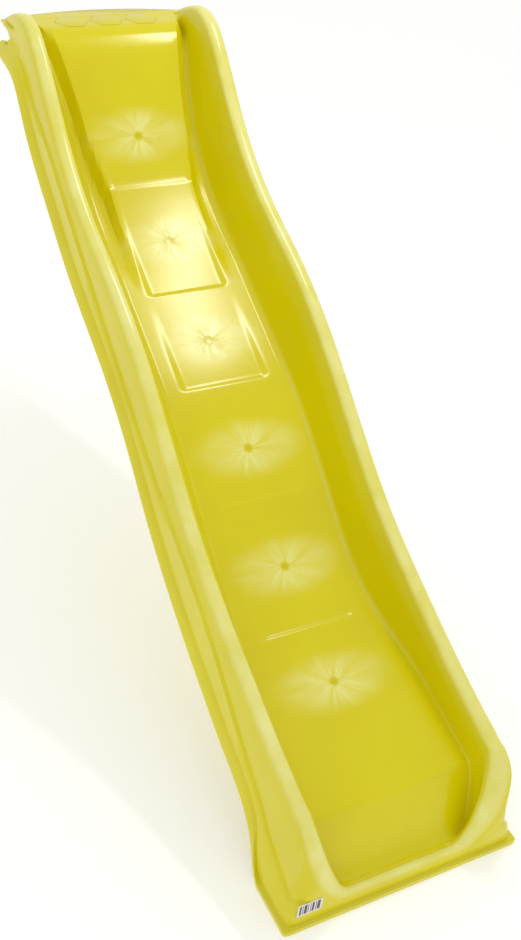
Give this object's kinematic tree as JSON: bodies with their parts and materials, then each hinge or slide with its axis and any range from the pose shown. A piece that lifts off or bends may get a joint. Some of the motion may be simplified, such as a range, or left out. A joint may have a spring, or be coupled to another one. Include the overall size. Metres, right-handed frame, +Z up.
{
  "type": "wave slide",
  "caption": "Wavy one-piece garden slide in glossy yellow plastic, with raised side rails, a hollow foot and a deck lip whose fixing screws sit under hexagonal caps.",
  "frame": {"origin": "ground level under the middle of the slide's outer box", "axes": "+Z up as the slide is used, +Y from the foot up to the deck, +X across the slide; someone on the deck looking down the slide has +X on the left"},
  "size_m": [0.569, 1.868, 1.2467],
  "materials": {
    "yellow_polyethylene": "moulded, glossy",
    "zinc_plated_steel": "zinc plated",
    "label_film": "printed film"
  },
  "bodies": {
    "slide_body": {"chute": "yellow_polyethylene", "barcode_label": "label_film", "deck_screw_1": "zinc_plated_steel", "deck_screw_2": "zinc_plated_steel", "deck_screw_3": "zinc_plated_steel", "washer_1": "zinc_plated_steel", "washer_2": "zinc_plated_steel", "washer_3": "zinc_plated_steel"},
    "cap_1": {"cover_cap_1": "yellow_polyethylene"},
    "cap_2": {"cover_cap_2": "yellow_polyethylene"},
    "cap_3": {"cover_cap_3": "yellow_polyethylene"}
  },
  "joints": [
    {"name": "cap_1_pull", "type": "slide", "parent": "slide_body", "child": "cap_1", "axis": [0, 0, 1], "range_m": [0, 0.03]},
    {"name": "cap_2_pull", "type": "slide", "parent": "slide_body", "child": "cap_2", "axis": [0, 0, 1], "range_m": [0, 0.03]},
    {"name": "cap_3_pull", "type": "slide", "parent": "slide_body", "child": "cap_3", "axis": [0, 0, 1], "range_m": [0, 0.03]}
  ]
}
